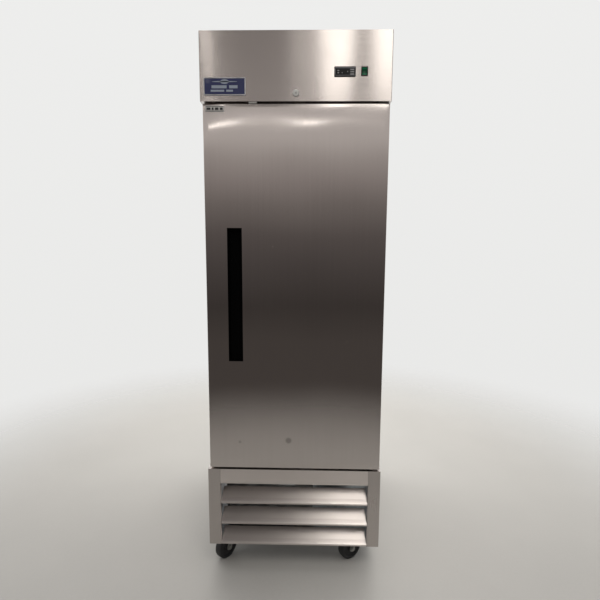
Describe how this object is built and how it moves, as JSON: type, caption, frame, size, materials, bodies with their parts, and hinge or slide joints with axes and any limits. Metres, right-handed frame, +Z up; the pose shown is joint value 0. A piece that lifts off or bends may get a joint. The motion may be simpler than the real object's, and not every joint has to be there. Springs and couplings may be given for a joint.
{
  "type": "reach-in refrigerator",
  "caption": "Single-door reach-in refrigerator: foamed stainless cabinet with a hinged door, recessed pull, louvred machine base and swivel casters.",
  "frame": {"origin": "on the floor, under the middle of the cabinet's plan, wheels included", "axes": "+Z up; the door faces -Y; +X is to the right of a person who faces the door, where the hinges are"},
  "size_m": [0.68, 0.85, 2.067],
  "materials": {
    "outer_stainless": "satin",
    "door_stainless": "satin",
    "galvanised_steel": "matte",
    "foam": "matte",
    "liner_aluminium": "satin",
    "grey_plastic": "satin",
    "shelf_steel": "satin",
    "shelf_wire": "gloss",
    "white_plastic": "satin",
    "coil_aluminium": "satin",
    "motor_grey": "satin",
    "fan_aluminium": "satin",
    "badge_blue": "gloss",
    "black_plastic": "satin",
    "display_glass": "gloss",
    "button_grey": "satin",
    "switch_green": "gloss",
    "lock_chrome": "polished",
    "hinge_steel": "satin",
    "bush_nylon": "satin",
    "gasket_rubber": "matte",
    "compressor_black": "satin",
    "copper": "satin",
    "pan_plastic": "matte",
    "caster_zinc": "satin",
    "wheel_black": "matte"
  },
  "bodies": {
    "cabinet": {"back_panel": "galvanised_steel", "badge_plate": "badge_blue", "base_deck": "galvanised_steel", "bottom_panel": "galvanised_steel", "breaker_strips": "grey_plastic", "cabinet_insulation": "foam", "caster_plates": "caster_zinc", "compressor": "compressor_black", "condensate_pan": "pan_plastic", "condenser_coil": "coil_aluminium", "condenser_fan_motor": "motor_grey", "condenser_shroud": "galvanised_steel", "controller_bezel": "black_plastic", "controller_display": "display_glass", "door_frame": "door_stainless", "door_sensor": "white_plastic", "evaporator_coil": "coil_aluminium", "evaporator_cover": "white_plastic", "evaporator_fan_motor": "motor_grey", "grille_blades": "outer_stainless", "grille_stiles": "outer_stainless", "grille_top_rail": "outer_stainless", "header_panel": "outer_stainless", "hinge_bracket_bottom": "hinge_steel", "hinge_bracket_top": "hinge_steel", "inner_liner": "liner_aluminium", "interior_light": "white_plastic", "lock_barrel": "lock_chrome", "power_gland": "galvanised_steel", "refrigerant_tubing": "copper", "rocker_frame": "black_plastic", "shelf_clips": "shelf_steel", "shelf_pilasters": "shelf_steel", "side_panel_left": "outer_stainless", "side_panel_right": "outer_stainless", "top_panel": "outer_stainless"},
    "door": {"door_skin": "door_stainless", "door_inner_panel": "door_stainless", "door_insulation": "foam", "door_gasket": "gasket_rubber", "handle_pocket": "black_plastic", "hinge_bushes": "bush_nylon"},
    "lock": {"lock_plug": "lock_chrome"},
    "rocker": {"rocker_switch": "switch_green"},
    "button_up": {"button_up": "button_grey"},
    "button_down": {"button_down": "button_grey"},
    "button_set": {"button_set": "button_grey"},
    "evaporator_fan": {"evaporator_fan_blade": "fan_aluminium"},
    "condenser_fan": {"condenser_fan_blade": "fan_aluminium"},
    "shelf_upper": {"shelf_upper": "shelf_wire"},
    "shelf_middle": {"shelf_middle": "shelf_wire"},
    "shelf_lower": {"shelf_lower": "shelf_wire"},
    "swivel_front_left": {"caster_fork_front_left": "caster_zinc"},
    "wheel_front_left": {"caster_wheel_front_left": "wheel_black"},
    "swivel_front_right": {"caster_fork_front_right": "caster_zinc"},
    "wheel_front_right": {"caster_wheel_front_right": "wheel_black"},
    "swivel_rear_left": {"caster_fork_rear_left": "caster_zinc"},
    "wheel_rear_left": {"caster_wheel_rear_left": "wheel_black"},
    "swivel_rear_right": {"caster_fork_rear_right": "caster_zinc"},
    "wheel_rear_right": {"caster_wheel_rear_right": "wheel_black"}
  },
  "joints": [
    {"name": "door_hinge", "type": "hinge", "parent": "cabinet", "child": "door", "pos_m": [0.32, -0.388, 1.138], "axis": [0, 0, 1], "range_deg": [0, 120]},
    {"name": "lock_turn", "type": "hinge", "parent": "cabinet", "child": "lock", "pos_m": [0.002, -0.405, 1.858], "axis": [0, 1, 0], "range_deg": [0, 90]},
    {"name": "power_rocker", "type": "hinge", "parent": "cabinet", "child": "rocker", "pos_m": [0.242, -0.419, 1.9305], "axis": [1, 0, 0], "range_deg": [-12, 0]},
    {"name": "evaporator_fan_spin", "type": "hinge", "parent": "cabinet", "child": "evaporator_fan", "pos_m": [0, -0.15, 1.85], "axis": [0, 0, 1], "continuous": true},
    {"name": "condenser_fan_spin", "type": "hinge", "parent": "cabinet", "child": "condenser_fan", "pos_m": [-0.105, -0.17, 0.28], "axis": [0, 1, 0], "continuous": true},
    {"name": "press_up", "type": "slide", "parent": "cabinet", "child": "button_up", "axis": [0, 1, 0], "range_m": [0, 0.001], "stiffness_N_per_m": 400},
    {"name": "press_down", "type": "slide", "parent": "cabinet", "child": "button_down", "axis": [0, 1, 0], "range_m": [0, 0.001], "stiffness_N_per_m": 400},
    {"name": "press_set", "type": "slide", "parent": "cabinet", "child": "button_set", "axis": [0, 1, 0], "range_m": [0, 0.001], "stiffness_N_per_m": 400},
    {"name": "shelf_upper_lift", "type": "slide", "parent": "cabinet", "child": "shelf_upper", "axis": [0, 0, 1], "range_m": [0, 0.025]},
    {"name": "shelf_middle_lift", "type": "slide", "parent": "cabinet", "child": "shelf_middle", "axis": [0, 0, 1], "range_m": [0, 0.025]},
    {"name": "shelf_lower_lift", "type": "slide", "parent": "cabinet", "child": "shelf_lower", "axis": [0, 0, 1], "range_m": [0, 0.025]},
    {"name": "caster_swivel_front_left", "type": "hinge", "parent": "cabinet", "child": "swivel_front_left", "pos_m": [-0.268, -0.294, 0.11], "axis": [0, 0, 1], "continuous": true},
    {"name": "wheel_spin_front_left", "type": "hinge", "parent": "swivel_front_left", "child": "wheel_front_left", "pos_m": [-0.29207, -0.32594, 0.05], "axis": [0.7986, -0.6018, 0], "continuous": true},
    {"name": "caster_swivel_front_right", "type": "hinge", "parent": "cabinet", "child": "swivel_front_right", "pos_m": [0.268, -0.294, 0.11], "axis": [0, 0, 1], "continuous": true},
    {"name": "wheel_spin_front_right", "type": "hinge", "parent": "swivel_front_right", "child": "wheel_front_right", "pos_m": [0.23445, -0.31579, 0.05], "axis": [0.5446, -0.8387, 0], "continuous": true},
    {"name": "caster_swivel_rear_left", "type": "hinge", "parent": "cabinet", "child": "swivel_rear_left", "pos_m": [-0.268, 0.33, 0.11], "axis": [0, 0, 1], "continuous": true},
    {"name": "wheel_spin_rear_left", "type": "hinge", "parent": "swivel_rear_left", "child": "wheel_rear_left", "pos_m": [-0.23041, 0.31632, 0.05], "axis": [0.342, 0.9397, 0], "continuous": true},
    {"name": "caster_swivel_rear_right", "type": "hinge", "parent": "cabinet", "child": "swivel_rear_right", "pos_m": [0.268, 0.33, 0.11], "axis": [0, 0, 1], "continuous": true},
    {"name": "wheel_spin_rear_right", "type": "hinge", "parent": "swivel_rear_right", "child": "wheel_rear_right", "pos_m": [0.23268, 0.31122, 0.05], "axis": [0.4695, -0.8829, 0], "continuous": true}
  ]
}
